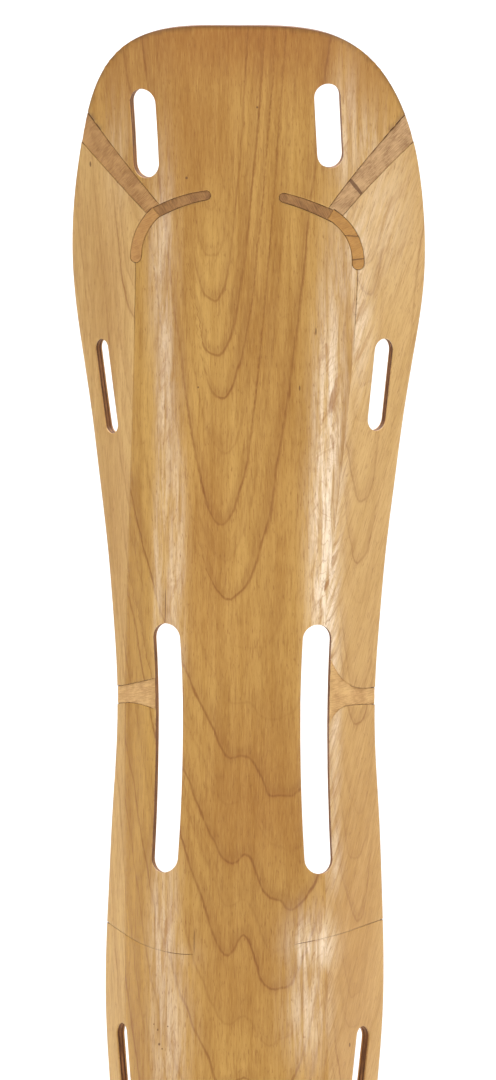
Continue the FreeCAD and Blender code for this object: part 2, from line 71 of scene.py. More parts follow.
# Depths of the layers' sides; the outer face is at depth 0.
FACE_BOTTOM = 0.88 * MM
HIDDEN_LAYERS = {
    "outer_crossband": (0.92 * MM, 2.0 * MM),
    "core": (2.02 * MM, 3.2 * MM),
    "inner_crossband": (3.22 * MM, 4.3 * MM),
}
INNER_TOP, INNER_BOTTOM = 4.3 * MM, 5.18 * MM
FLUSH, RECESSED = 0.02 * MM, 0.35 * MM      # tops of the two kinds of filler strip
HIDDEN_NODES = {n: layer for layer in HIDDEN_LAYERS for n in sorted(nodes) if n.startswith(layer)}


# ------------------------------------------------------------ reading the frame

WELD = 2e-6               # metres between points of the frame that are taken as one
SHEET_BEND = 0.7          # radians between two faces from which one sheet ends


def sheets(node):
    """The two large smooth sheets of a veneer node: (outer side, side towards the leg).

    Each sheet is an array of triangles, with its boundary as closed loops of points."""
    bm = bmesh.new()
    bm.from_mesh(nodes[node].data)
    bmesh.ops.triangulate(bm, faces=bm.faces)
    bmesh.ops.remove_doubles(bm, verts=bm.verts, dist=WELD)
    bm.faces.ensure_lookup_table()
    seen = set()
    groups = []
    for start in bm.faces:
        if start.index in seen:
            continue
        seen.add(start.index)
        group, stack = [], [start]
        while stack:
            f = stack.pop()
            group.append(f)
            for e in f.edges:
                if len(e.link_faces) != 2 or e.calc_face_angle(0) > SHEET_BEND:
                    continue
                for g in e.link_faces:
                    if g.index not in seen:
                        seen.add(g.index)
                        stack.append(g)
        groups.append(group)
    groups.sort(key=lambda g: -sum(f.calc_area() for f in g))
    two = sorted(groups[:2], key=lambda g: sum(f.normal.y * f.calc_area() for f in g))
    result = [
        (np.array([[v.co[:] for v in f.verts] for f in group]), boundary_loops(group))
        for group in two
    ]
    bm.free()
    return result


def boundary_loops(group):
    """Closed loops of points round a group of faces, longest first."""
    members = set(group)
    follow = {}
    for f in group:
        for loop in f.loops:
            others = [g for g in loop.edge.link_faces if g is not f and g in members]
            if not others:
                follow.setdefault(loop.vert, []).append(loop.link_loop_next.vert)
    loops = []
    while follow:
        start = next(iter(follow))
        line, at = [], start
        while at in follow:
            line.append(at.co[:])
            ahead = follow[at]
            nxt = ahead.pop()
            if not ahead:
                del follow[at]
            at = nxt
        if len(line) > 2:
            loops.append(np.array(line))
    loops.sort(key=lambda p: -len(p))
    return loops


class Mould:
    """The mould surface under the face veneers, as a smooth grid over (across, up)."""

    DEPTH = HIDDEN_LAYERS["outer_crossband"][0]
    ACROSS_STEP = 1.5 * MM
    UP_STEP = 4 * MM
    REACH = 130 * MM          # how far the grid goes to each side
    END_MARGIN = 6 * MM       # between each end of the splint and the nearest section
    SPARE_ROWS = 5            # rows added past each end
    SLOPE_STEPS = 5           # steps over which a section's slope is taken
    SLOPE_ROWS = 4            # rows over which the slope along the splint is taken
    UNROLL_ROUNDS, UNROLL_PROBE, UNROLL_SHARE = 12, 0.5 * MM, 0.9

    def __init__(self, triangles):
        self.s = np.arange(-self.REACH, self.REACH + self.ACROSS_STEP / 2, self.ACROSS_STEP)
        count = int(round((TOP - 2 * self.END_MARGIN) / self.UP_STEP)) + 1
        self.z = np.linspace(self.END_MARGIN, TOP - self.END_MARGIN, count)
        rows = [self.section(triangles, z) for z in self.z]
        xs, ys = self.fill_outwards(rows)
        self.z, xs, ys = self.extend(xs, ys)
        xs, ys = smooth_grid(xs), smooth_grid(ys)
        self.points = np.stack([xs, ys, np.repeat(self.z[:, None], len(self.s), 1)], 2)
        along = np.gradient(self.points, axis=0)
        across = np.gradient(self.points, axis=1)
        normal = np.cross(along, across)
        self.normals = normal / np.linalg.norm(normal, axis=2, keepdims=True)

    def section(self, triangles, z):
        """One section: x and y at every step across, and how far it really reaches."""
        low, high = triangles[:, :, 2].min(1), triangles[:, :, 2].max(1)
        crossing = triangles[(low < z) & (high > z)]
        points = []
        for a, b in ((0, 1), (1, 2), (2, 0)):
            pa, pb = crossing[:, a], crossing[:, b]
            hit = (pa[:, 2] - z) * (pb[:, 2] - z) < 0
            share = (z - pa[hit, 2]) / (pb[hit, 2] - pa[hit, 2])
            points.append(pa[hit, :2] + (pb[hit, :2] - pa[hit, :2]) * share[:, None])
        line = np.concatenate(points)
        line = line[np.argsort(line[:, 0])]
        line = bridge_gaps(line)
        run = np.concatenate([[0], np.cumsum(np.hypot(*np.diff(line, axis=0).T))])
        run -= np.interp(0, line[:, 0], run)
        x = np.interp(self.s, run, line[:, 0])
        y = np.interp(self.s, run, line[:, 1])
        return x, y, run[0], run[-1]

    def fill_outwards(self, rows):
        """Continues each section past the splint's edge, led by the rows nearer the middle."""
        count = len(rows)
        xs = np.array([r[0] for r in rows])
        ys = np.array([r[1] for r in rows])
        order = [(k, k + 1) for k in range(count // 2 - 1, -1, -1)]
        order += [(k, k - 1) for k in range(count // 2 + 1, count)]
        self.straighten(xs, ys, count // 2, rows[count // 2])
        for k, led_by in order:
            _x, _y, low, high = rows[k]
            for beyond, end in ((self.s < low, low), (self.s > high, high)):
                inside = np.interp(end, self.s, np.arange(len(self.s)))
                j = int(math.ceil(inside)) if end < 0 else int(math.floor(inside))
                xs[k, beyond] = xs[led_by, beyond] + xs[k, j] - xs[led_by, j]
                ys[k, beyond] = ys[led_by, beyond] + ys[k, j] - ys[led_by, j]
        return xs, ys

    def straighten(self, xs, ys, k, row):
        """Runs one section straight on past both of its ends."""
        for beyond, end, step in ((self.s < row[2], row[2], 1), (self.s > row[3], row[3], -1)):
            j = int(np.argmin(abs(self.s - end))) + step
            back = j + self.SLOPE_STEPS * step
            dx = (xs[k, j] - xs[k, back]) / (self.s[j] - self.s[back])
            dy = (ys[k, j] - ys[k, back]) / (self.s[j] - self.s[back])
            xs[k, beyond] = xs[k, j] + dx * (self.s[beyond] - self.s[j])
            ys[k, beyond] = ys[k, j] + dy * (self.s[beyond] - self.s[j])

    def extend(self, xs, ys):
        """Adds rows past both ends of the splint, in line with the last ones."""
        spare, back = self.SPARE_ROWS, self.SLOPE_ROWS
        step = self.z[1] - self.z[0]
        ahead = np.arange(1, spare + 1)[:, None]
        parts = []
        for grid in (xs, ys):
            first = grid[0] - (grid[back] - grid[0]) / back * ahead[::-1]
            last = grid[-1] + (grid[-1] - grid[-1 - back]) / back * ahead
            parts.append(np.concatenate([first, grid, last]))
        z = self.z[0] + step * np.arange(-spare, len(self.z) + spare)
        return z, parts[0], parts[1]

    def look_up(self, grid, places):
        """Bilinear value of a grid at (across, up) places."""
        fs = (places[:, 0] - self.s[0]) / self.ACROSS_STEP
        fz = (places[:, 1] - self.z[0]) / (self.z[1] - self.z[0])
        i = np.clip(fz.astype(int), 0, len(self.z) - 2)
        j = np.clip(fs.astype(int), 0, len(self.s) - 2)
        u = (fz - i)[:, None]
        v = (fs - j)[:, None]
        return (
            grid[i, j] * (1 - u) * (1 - v) + grid[i + 1, j] * u * (1 - v)
            + grid[i, j + 1] * (1 - u) * v + grid[i + 1, j + 1] * u * v
        )

    def at(self, places, depth):
        """Points of the splint at (across, up) places and a depth below the outer face."""
        normal = self.look_up(self.normals, places)
        normal /= np.linalg.norm(normal, axis=1, keepdims=True)
        return self.look_up(self.points, places) + normal * np.reshape(depth - self.DEPTH, (-1, 1))

    def unroll(self, points, depth):
        """(across, up) places of points that lie at a depth below the outer face."""
        places = np.stack([points[:, 0], points[:, 2]], 1)
        tiny = self.UNROLL_PROBE
        for _ in range(self.UNROLL_ROUNDS):
            here = self.at(places, depth)
            to_side = (self.at(places + [tiny, 0], depth) - here) / tiny
            to_top = (self.at(places + [0, tiny], depth) - here) / tiny
            miss = points - here
            step = np.stack([(miss * to_side).sum(1), (miss * to_top).sum(1)], 1)
            places = places + step * self.UNROLL_SHARE
        return places


def hermite(t, width, start, end, slope_start, slope_end):
    """A cubic between two values with given slopes, at shares t of its width."""
    return (
        (1 + 2 * t) * (1 - t) ** 2 * start + t * (1 - t) ** 2 * width * slope_start
        + t * t * (3 - 2 * t) * end + t * t * (t - 1) * width * slope_end
    )


SLOT_GAP = 2.2 * MM       # widest step between neighbouring points where there is no slot
SLOT_POINTS = 12          # points put across a slot
SLOT_REACH = 6            # points back from a slot over which the slope is taken


def bridge_gaps(line):
    """Fills the gaps that slots leave in a section with smooth curves."""
    gaps = np.where(np.diff(line[:, 0]) > SLOT_GAP)[0]
    parts, start = [], 0
    for g in gaps:
        a0, a1 = line[max(start, g - SLOT_REACH)], line[g]
        b1, b0 = line[g + 1], line[min(len(line) - 1, g + 1 + SLOT_REACH)]
        wide = b1[0] - a1[0]
        straight = (b1[1] - a1[1]) / wide
        slope_a = (a1[1] - a0[1]) / max(a1[0] - a0[0], 1e-6) if a1[0] - a0[0] > MM else straight
        slope_b = (b0[1] - b1[1]) / max(b0[0] - b1[0], 1e-6) if b0[0] - b1[0] > MM else straight
        t = np.linspace(0, 1, SLOT_POINTS + 2)[1:-1]
        y = hermite(t, wide, a1[1], b1[1], slope_a, slope_b)
        parts.append(line[start:g + 1])
        parts.append(np.stack([a1[0] + wide * t, y], 1))
        start = g + 1
    parts.append(line[start:])
    return np.concatenate(parts)


BLUR_REACH, BLUR_WIDTH = 5, 2.0           # in grid steps


def smooth_grid(grid):
    """Takes the facets of the tessellation out of a grid, and keeps its bends."""
    weights = np.exp(-0.5 * (np.arange(-BLUR_REACH, BLUR_REACH + 1) / BLUR_WIDTH) ** 2)
    weights /= weights.sum()

    def blur_down(values):
        pad = ((BLUR_REACH, BLUR_REACH), (0, 0))
        padded = np.pad(values, pad, mode="reflect", reflect_type="odd")
        return sum(w * padded[k:k + len(values)] for k, w in enumerate(weights))

    def blur(values):
        return blur_down(blur_down(values).T).T

    soft = blur(grid)
    return 2 * soft - blur(soft)


sheet_of = {node: sheets(node) for node in nodes}
mould = Mould(np.concatenate([
    sheet_of[node][0][0] for node in nodes if node.startswith("outer_crossband")
]))


# ----------------------------------------------------------- building veneers

SHORTEST_STEP = 0.06 * MM     # nearer points of a loop are dropped
CORNER = math.radians(20)     # from this turn on, a loop has a corner
UNEVEN = 3                    # a run next to one this many times longer takes its slope


def runs_of(loops):
    """Where each loop starts and ends in all the loops' points put together."""
    ends = list(itertools.accumulate(len(loop) for loop in loops))
    return [(end - len(loop), end) for loop, end in zip(loops, ends)]


def even_loop(loop, step):
    """A closed loop resampled evenly along smooth curves between its sharp corners."""
    loop = loop[np.hypot(*(loop - np.roll(loop, 1, 0)).T) > SHORTEST_STEP]
    ahead = np.roll(loop, -1, 0) - loop
    behind = loop - np.roll(loop, 1, 0)
    turn = np.arctan2(
        behind[:, 0] * ahead[:, 1] - behind[:, 1] * ahead[:, 0], (behind * ahead).sum(1)
    )
    corners = list(np.where(abs(turn) > CORNER)[0]) or [0]
    result = []
    for a, b in zip(corners, corners[1:] + [corners[0] + len(loop)]):
        stretch = np.array([loop[k % len(loop)] for k in range(a, b + 1)])
        result.append(smooth_run(stretch, step))
    return np.concatenate(result)


def smooth_run(points, step):
    """Even points along a smooth curve through the given ones, without the last."""
    gap = np.hypot(*np.diff(points, axis=0).T)
    run = np.concatenate([[0], np.cumsum(gap)])
    at = np.linspace(0, run[-1], max(1, int(round(run[-1] / step))) + 1)[:-1]
    slope = np.diff(points, axis=0) / gap[:, None]
    tangent = np.empty_like(points)
    tangent[0], tangent[-1] = slope[0], slope[-1]
    before, after = gap[:-1, None], gap[1:, None]
    blend = (before * slope[1:] + after * slope[:-1]) / (before + after)
    blend = np.where(after > UNEVEN * before, slope[1:], blend)
    tangent[1:-1] = np.where(before > UNEVEN * after, slope[:-1], blend)
    k = np.clip(np.searchsorted(run, at, side="right") - 1, 0, len(gap) - 1)
    t = ((at - run[k]) / gap[k])[:, None]
    return hermite(t, gap[k][:, None], points[k], points[k + 1], tangent[k], tangent[k + 1])


def loop_inset(loop, amount, outer):
    """The loop moved by an amount into the wood, which lies inside it only if it is outer."""
    ahead = np.roll(loop, -1, 0) - np.roll(loop, 1, 0)
    side = np.stack([-ahead[:, 1], ahead[:, 0]], 1)
    side /= np.maximum(np.linalg.norm(side, axis=1, keepdims=True), 1e-12)
    area = np.sum(loop[:, 0] * np.roll(loop[:, 1], -1) - loop[:, 1] * np.roll(loop[:, 0], -1))
    inward = 1 if area > 0 else -1
    return loop + side * (inward if outer else -inward) * np.reshape(amount, (-1, 1))


AT_ONCE = 64              # edges of a loop that are tested together


def inside_loops(places, loops):
    """Which places lie inside an even-odd set of loops."""
    inside = np.zeros(len(places), bool)
    for loop in loops:
        low, high = loop.min(0), loop.max(0)
        near = np.where(((places >= low) & (places <= high)).all(1))[0]
        if not len(near):
            continue
        px, py = places[near, 0][:, None], places[near, 1][:, None]
        odd = np.zeros(len(near), bool)
        a, b = loop, np.roll(loop, -1, 0)
        for k in range(0, len(a), AT_ONCE):
            (ax, ay), (bx, by) = a[k:k + AT_ONCE].T, b[k:k + AT_ONCE].T
            spans = (ay > py) != (by > py)
            rise = np.where(by == ay, 1, by - ay)
            odd ^= (spans & (px < (bx - ax) * (py - ay) / rise + ax)).sum(1) % 2 == 1
        inside[near] ^= odd
    return inside


def clear_of(places, points, gap):
    """Which places keep a gap from a set of points."""
    taken = {}
    for p in points:
        taken.setdefault((int(p[0] // gap), int(p[1] // gap)), []).append(p)
    keep = np.ones(len(places), bool)
    keys = np.floor(places / gap).astype(int)
    for k, (i, j) in enumerate(keys):
        for di in (-1, 0, 1):
            for dj in (-1, 0, 1):
                for p in taken.get((i + di, j + dj), ()):
                    if (p[0] - places[k, 0]) ** 2 + (p[1] - places[k, 1]) ** 2 < gap * gap:
                        keep[k] = False
    return keep


ROW_STEP = 0.87           # of the spacing, between rows of a triangular grid
CLEARANCE = 0.62          # of the spacing, between the grid and the loops
MM_PER_METRE = 1000       # the triangulation is run in millimetres
CDT_EPSILON = 1e-5


def sheet_mesh(loops, spacing):
    """Triangles over the inside of the loops: (places, triangles, index of each loop point).

    The triangulation works in single precision, so the loops as it gives them back
    decide which of its triangles lie inside."""
    border = np.concatenate(loops)
    low, high = border.min(0), border.max(0)
    cols = np.arange(low[0], high[0], spacing)
    rows = np.arange(low[1], high[1], spacing * ROW_STEP)
    grid = np.stack(np.meshgrid(cols, rows), 2)
    grid[1::2, :, 0] += spacing / 2
    grid = grid.reshape(-1, 2)
    grid = grid[inside_loops(grid, loops)]
    grid = grid[clear_of(grid, border, spacing * CLEARANCE)]
    places = np.concatenate([border, grid])
    runs = runs_of(loops)
    edges = []
    for start, end in runs:
        edges += [(k, k + 1) for k in range(start, end - 1)] + [(end - 1, start)]
    shift = places.mean(0)
    scaled = [Vector(p) for p in (places - shift) * MM_PER_METRE]
    found = delaunay_2d_cdt(scaled, edges, [], 0, CDT_EPSILON)
    out = np.array([v[:] for v in found[0]]) / MM_PER_METRE + shift
    tris = np.array([t for t in found[2] if len(t) == 3])
    index = np.full(len(places), -1)
    for new, old in enumerate(found[3]):
        index[list(old)] = new
    rounded = [out[index[start:end]] for start, end in runs]
    return out, tris[inside_loops(out[tris].mean(1), rounded)], index


class Outline:
    """How far the outer face reaches to each side at every height, unrolled."""

    STEP = 4 * MM
    SIDE_BAND, END_BAND = 2.5 * MM, 9 * MM    # how near the outline counts as on it

    def __init__(self, loops):
        points = np.concatenate(loops)
        self.low = points[:, 1].min()
        self.high = points[:, 1].max()
        self.reach = np.zeros((2, int((self.high - self.low) / self.STEP) + 1))
        rows = self.row_of(points)
        np.minimum.at(self.reach[0], rows, points[:, 0])
        np.maximum.at(self.reach[1], rows, points[:, 0])

    def row_of(self, points):
        """The row of the outline's table that each point falls in."""
        rows = ((points[:, 1] - self.low) / self.STEP).astype(int)
        return np.clip(rows, 0, self.reach.shape[1] - 1)

    def near(self, loop):
        """Which points of a loop lie on the outline of the splint."""
        left, right = self.reach[:, self.row_of(loop)]
        sideways = np.minimum(loop[:, 0] - left, right - loop[:, 0])
        endways = np.minimum(loop[:, 1] - self.low, self.high - loop[:, 1])
        return (sideways < self.SIDE_BAND) | (endways < self.END_BAND)


# Drops in millimetres between which the seams have opened.
CRACK_START, CRACK_END = 128, 182

# Rounding of the face veneers' edges, by where they lie.
THIGH_END = 60 * MM
THIGH_END_EASE, OUTLINE_EASE = 0.62 * MM, 0.3 * MM
JOINT_EASE, CLOSED_JOINT_EASE, SLOT_EASE = 0.07 * MM, 0.02 * MM, 0.15 * MM


def rim_ease(loop, is_outer):
    """Rounding of a veneer's edge: worn along the outline, crisp at joints and slots."""
    if not is_outer:
        return np.full(len(loop), SLOT_EASE)
    on_rim = outline.near(loop)
    at_thigh_end = on_rim & (loop[:, 1] > TOP - THIGH_END)
    closed = ~on_rim & (loop[:, 1] < TOP - CRACK_END * MM)
    joint = np.where(closed, CLOSED_JOINT_EASE, JOINT_EASE)
    return np.where(at_thigh_end, THIGH_END_EASE, np.where(on_rim, OUTLINE_EASE, joint))


# Eases above these mark an edge as worn, and let its brown line run onto the face.
WORN_EASE, BROWNED_EASE = 0.25 * MM, 0.5 * MM
BROWNED = 0.45            # strength of the brown where it starts on the face
MID_ROUND = math.sin(math.radians(45))    # the middle of a quarter round


def veneer(name, node, top, bottom, spacing, ease, edge_step=1.6 * MM,
           face_side=0, wobble=None, ease_bottom=0.05 * MM):
    """A closed veneer built over a CAD node's sheet, between two depths.

    The sheet is the node's outer side, or the side towards the leg if face_side is 1.
    The ease rounds its edges, as a length or as ease(loop, is_outer); wobble(loop,
    is_outer) gives how far each edge point moves into the wood."""
    loops = [
        even_loop(mould.unroll(points, (top, bottom)[face_side]), edge_step)
        for points in sheet_of[node][face_side][1]
    ]
    outer = int(np.argmax([np.ptp(loop, axis=0).prod() for loop in loops]))
    if wobble:
        loops = [loop_inset(l, wobble(l, k == outer), k == outer) for k, l in enumerate(loops)]
    eases = [
        np.broadcast_to(ease(l, k == outer) if callable(ease) else ease, len(l))
        for k, l in enumerate(loops)
    ]
    rims = [loop_inset(l, e, k == outer) for k, (l, e) in enumerate(zip(loops, eases))]
    flat, tris, index = sheet_mesh(rims, spacing)
    count = len(flat)
    verts = [mould.at(flat, np.full(count, depth)) for depth in (top, bottom)]
    places = [flat, flat]
    faces = [tuple(t) for t in tris] + [tuple(t[::-1] + count) for t in tris]
    face_marks = np.zeros(2 * count)
    marks = [face_marks]
    total = 2 * count
    for k, (loop, round_off) in enumerate(zip(loops, eases)):
        start, end = runs_of(loops)[k]
        at_top = index[start:end]
        face_marks[at_top] = np.where(round_off > BROWNED_EASE, BROWNED, 0.0)
        n = len(loop)
        steps = [
            (round_off * (1 - MID_ROUND), top + round_off * (1 - MID_ROUND)),
            (0, top + round_off),
            (0, np.full(n, bottom - ease_bottom)),
            (ease_bottom * (1 - MID_ROUND), np.full(n, bottom - ease_bottom * (1 - MID_ROUND))),
        ]
        rings = [at_top]
        for inwards, depth in steps:
            ring = loop_inset(loop, inwards, k == outer)
            verts.append(mould.at(ring, depth))
            places.append(ring)
            marks.append(np.where(round_off > WORN_EASE, 1.0, 0.0))
            rings.append(np.arange(total, total + n))
            total += n
        rings.append(at_top + count)
        for above, below in zip(rings, rings[1:]):
            faces.extend(zip(np.roll(above, -1), above, below, np.roll(below, -1)))
    return finish_mesh(
        name, np.concatenate(verts), faces, np.concatenate(places), np.concatenate(marks)
    )


NO_AREA = 1e-14           # square metres
SHARP = math.radians(50)  # from this angle on, an edge is shaded sharp


def finish_mesh(name, verts, faces, places, rim):
    """A closed object from points and faces, with its unrolled places as UVs in metres."""
    mesh = bpy.data.meshes.new(name)
    mesh.from_pydata(verts.tolist(), [], [tuple(int(i) for i in f) for f in faces])
    store_values(mesh, {"rim": rim, "across": places[:, 0], "up": places[:, 1]})
    bm = bmesh.new()
    bm.from_mesh(mesh)
    empty = [f for f in bm.faces if f.calc_area() < NO_AREA]
    bmesh.ops.delete(bm, geom=empty, context="FACES_ONLY")
    gaps = [e for e in bm.edges if e.is_boundary]
    bmesh.ops.holes_fill(bm, edges=gaps, sides=0)
    bmesh.ops.triangulate(bm, faces=[f for f in bm.faces if len(f.verts) > 4])
    bmesh.ops.recalc_face_normals(bm, faces=bm.faces)
    axes = [bm.verts.layers.float[axis] for axis in ("across", "up")]
    unrolled = bm.loops.layers.uv.new("Unrolled")
    for f in bm.faces:
        for corner in f.loops:
            corner[unrolled].uv = [corner.vert[axis] for axis in axes]
    bm.to_mesh(mesh)
    bm.free()
    mesh.shade_smooth()
    mesh.set_sharp_from_angle(angle=SHARP)
    obj = bpy.data.objects.new(name, mesh)
    bpy.context.scene.collection.objects.link(obj)
    return obj


def store_values(mesh, named):
    """Stores arrays on a mesh as vertex attributes."""
    for name, values in named.items():
        attribute = mesh.attributes.new(name, "FLOAT", "POINT")
        attribute.data.foreach_set("value", values.astype(np.float32))


def read_values(mesh, name):
    """A vertex attribute of a mesh as an array."""
    values = np.zeros(len(mesh.vertices), np.float32)
    mesh.attributes[name].data.foreach_get("value", values)
    return values.astype(float)


# ------------------------------------------------------------- veneer figure

class Figure:
    """Growth rings of one flat-cut veneer, nested curves that open upwards.

    Each bend is (drop, axis, rise on the left, rise on the right, knee): how the ring whose
    lowest point is at that drop climbs away from its axis, with the square of the distance
    on the left and its cube on the right, and how far a small knee lifts it.
    Each ring is (drop of its lowest point, strength). All lengths are millimetres."""

    MOST_CLIMB = 420
    SPARE_CLIMB = 40          # more than any knee lifts
    KNEE_WIDTH = 7.5
    HALVINGS = 24
    PROBE = 0.5
    LEAST_STEEP = 0.25        # keeps the ring width finite where rings run level

    def __init__(self, bends, rings, wander, knee_at=3):
        self.bends = np.array(bends, float)
        self.rings = np.array(rings, float)
        self.wander = wander
        self.knee_at = knee_at

    def ring_drop(self, across, drop):
        """Drop of the lowest point of the ring that passes through each place."""
        drop = drop + waves(across, drop, self.wander)
        low, high = drop - 1, drop + self.MOST_CLIMB + self.SPARE_CLIMB
        knee_shape = np.exp(-((across - self.knee_at) / self.KNEE_WIDTH) ** 2)
        for _ in range(self.HALVINGS):
            found = (low + high) / 2
            axis, left, right, knee = (
                np.interp(found, self.bends[:, 0], self.bends[:, k]) for k in (1, 2, 3, 4)
            )
            off = across - axis
            climb = np.where(off < 0, left * off ** 2, right * abs(off) ** 3)
            soft = self.MOST_CLIMB * (1 - np.exp(-climb / self.MOST_CLIMB))
            too_low = found < drop + soft + knee * knee_shape
            low, high = np.where(too_low, found, low), np.where(too_low, high, found)
        return found

    def measure(self, across, drop):
        """Ring count at each place, millimetres per ring there, and the ring's strength."""
        here = self.ring_drop(across, drop)
        d_across = (self.ring_drop(across + self.PROBE, drop) - here) / self.PROBE
        d_drop = (self.ring_drop(across, drop + self.PROBE) - here) / self.PROBE
        steep = np.maximum(np.hypot(d_across, d_drop), self.LEAST_STEEP)
        number = np.arange(len(self.rings))
        count = np.interp(here, self.rings[:, 0], number)
        gap = np.diff(self.rings[:, 0])
        width = np.interp(count, number[:-1] + 0.5, gap) / steep
        return count, width, np.interp(count, number, self.rings[:, 1])


WAVE_LENGTHS = [(37, 83), (21, 49), (13, 31)]     # across and along, in millimetres


def waves(across, drop, amount):
    """Smooth irregular waviness, as a sum of a few sines of unlike lengths."""
    total = np.zeros(len(across))
    for k, (length_a, length_d) in enumerate(WAVE_LENGTHS):
        turn = across / length_a * 2 * math.pi + 1.7 * k
        total += np.sin(turn + 1.3 * np.sin(drop / length_d * 2 * math.pi + k)) / (k + 1)
    return total * amount


def even_rings(first, last, step, weak, strong):
    """Rings at slightly uneven steps with strengths that go up and down."""
    rings = []
    for k in range(int((last - first) / step)):
        swing = 0.5 + 0.5 * math.sin(1.9 * k)
        place = first + step * (k + 0.28 * math.sin(2.6 * k))
        rings.append((place, weak + (strong - weak) * swing))
    return rings


CENTRE_FIGURE = Figure(
    [(-200, -21, 0.4, 0.03, 0), (120, -20, 0.4, 0.03, 0), (154, -19.5, 0.35, 0.02, 0),
     (182, -18.7, 0.3, 0.0085, 0), (204, -14.6, 0.3, 0.008, 0), (275, -14, 0.22, 0.009, 0),
     (316, -12.5, 0.16, 0.0026, 0), (372, 8, 0.045, 0.0022, 6), (427, 20, 0.027, 0.002, 14),
     (488, 22, 0.027, 0.002, 17), (535, 12, 0.045, 0.0015, 24), (600, 7, 0.04, 0.0015, 12),
     (700, 0, 0.05, 0.0012, 8), (1100, -4, 0.05, 0.0015, 8)],
    [(-200, 0.2), (60, 0.15), (100, 0.2), (130, 0.45), (154, 0.75), (182, 0.8), (204, 0.9),
     (236, 0.25), (275, 0.95), (295, 0.2), (316, 0.9), (350, 0.12), (388, 0.2), (427, 1.0),
     (456, 0.15), (488, 1.0), (512, 0.2), (535, 0.95), (568, 0.3), (598, 0.8), (640, 0.5),
     (690, 0.3), (735, 0.9), (790, 0.4), (850, 0.8), (905, 0.5), (990, 0.9), (1090, 0.6),
     (1200, 0.5)],
    wander=2.0,
)
FLANK_FIGURE = Figure(
    [(-300, -58, 0.5, 0.02, 0), (300, -64, 0.3, 0.02, 0), (700, -62, 0.2, 0.012, 0),
     (1400, -58, 0.3, 0.02, 0)],
    even_rings(-300, 1500, 34, 0.2, 0.9), wander=3.5, knee_at=-70,
)
INNER_FIGURE = Figure(
    [(-300, 6, 0.10, 0.002, 0), (300, 2, 0.12, 0.003, 8), (620, -4, 0.07, 0.002, 10),
     (1400, 3, 0.08, 0.003, 6)],
    even_rings(-300, 1500, 41, 0.25, 0.9), wander=3.0,
)

# Where the face is pale: real scuffs, and a painted highlight streaked along both bends; across,
# drop, half width and half height in millimetres.
WEAR_AND_HIGHLIGHT_PLACES = [
    (-46, 128, 7, 50, 0.55), (-44, 205, 5, 90, 0.6), (-38, 517, 12, 9, 0.35),
    (-38, 300, 5, 80, 0.65), (-48, 300, 3, 70, 0.5),
    (48, 215, 8, 70, 0.95), (45, 290, 8, 80, 1.25), (46, 340, 7, 40, 1.1), (42, 240, 4, 60, 0.9),
    (80, 104, 20, 34, 0.35), (62, 128, 12, 40, 0.6), (66, 170, 9, 30, 0.65), (56, 60, 8, 30, 0.6),
    (70, 66, 12, 22, 0.4), (-44, 500, 8, 45, 0.7), (-40, 560, 11, 50, 0.5), (40, 510, 12, 16, 1.1),
    (38, 545, 12, 30, 0.6), (52, 392, 4, 60, 0.6), (-74, 70, 8, 26, 0.3), (53, 460, 5, 20, 0.6),
]

# Where the oil has darkened the face, in the same terms.
STAINED_PLACES = [
    (0, 2, 100, 34, 1.25), (-30, 60, 34, 50, 0.6), (8, 430, 36, 56, 0.9), (0, 510, 34, 50, 0.5),
    (-20, 300, 12, 80, 0.5), (72, 20, 34, 34, 0.8), (-72, 25, 30, 34, 0.7), (8, 150, 20, 70, 0.35),
    (20, 240, 8, 90, 0.3), (-84, 150, 14, 60, 0.35), (70, 520, 30, 150, 0.55),
    (64, 440, 14, 60, 0.35), (-82, 280, 10, 60, 0.3), (-60, 560, 10, 40, 0.25),
    (-5, 350, 20, 40, 0.3),
]

# Specks, a short check above a knee slot and the knife tick at the end of a calf slit:
# across, drop, half width and half height in millimetres.
MARKS = [
    (-32.3, 85, 0.7, 0.8), (6.8, 45.5, 0.6, 0.6), (-25.5, 201, 0.5, 0.6), (39.5, 169.5, 0.4, 2.2),
    (30.7, 201, 0.45, 1.5), (-43.5, 322, 0.3, 10), (-25.9, 509, 0.28, 7), (-46, 558, 0.5, 0.7),
    (-45, 566, 0.7, 0.8), (-43.2, 568.5, 0.5, 0.5), (-48.5, 555, 0.4, 0.5), (-40, 556, 0.4, 0.5),
    (67, 566, 0.7, 1.3), (-95, 78, 0.7, 1.6),
]


def patches(ovals, across, drop):
    """Strength of a set of soft oval patches at each place."""
    total = np.zeros(len(across))
    for a, d, half_a, half_d, amount in ovals:
        far = ((across - a) / half_a) ** 2 + ((drop - d) / half_d) ** 2
        total = np.maximum(total, amount * np.exp(-far))
    return total


def paint(obj, figure, shift=(0, 0)):
    """Stores the figure, the scuffs with the painted highlight along the bends, and the stains on
    a veneer as vertex attributes.
    """
    mesh = obj.data
    across = read_values(mesh, "across") / MM
    drop = (TOP - read_values(mesh, "up")) / MM
    ring_count, ring_width, strength = figure.measure(across + shift[0], drop + shift[1])
    store_values(mesh, {
        "ring_count": ring_count, "ring_width": ring_width, "ring_strength": strength,
        # the pale mask: real scuffs, and a painted highlight along the bends
        "wear_and_highlight": patches(WEAR_AND_HIGHLIGHT_PLACES, across, drop),
        "stained": patches(STAINED_PLACES, across, drop),
    })


# ------------------------------------------------------------------ materials

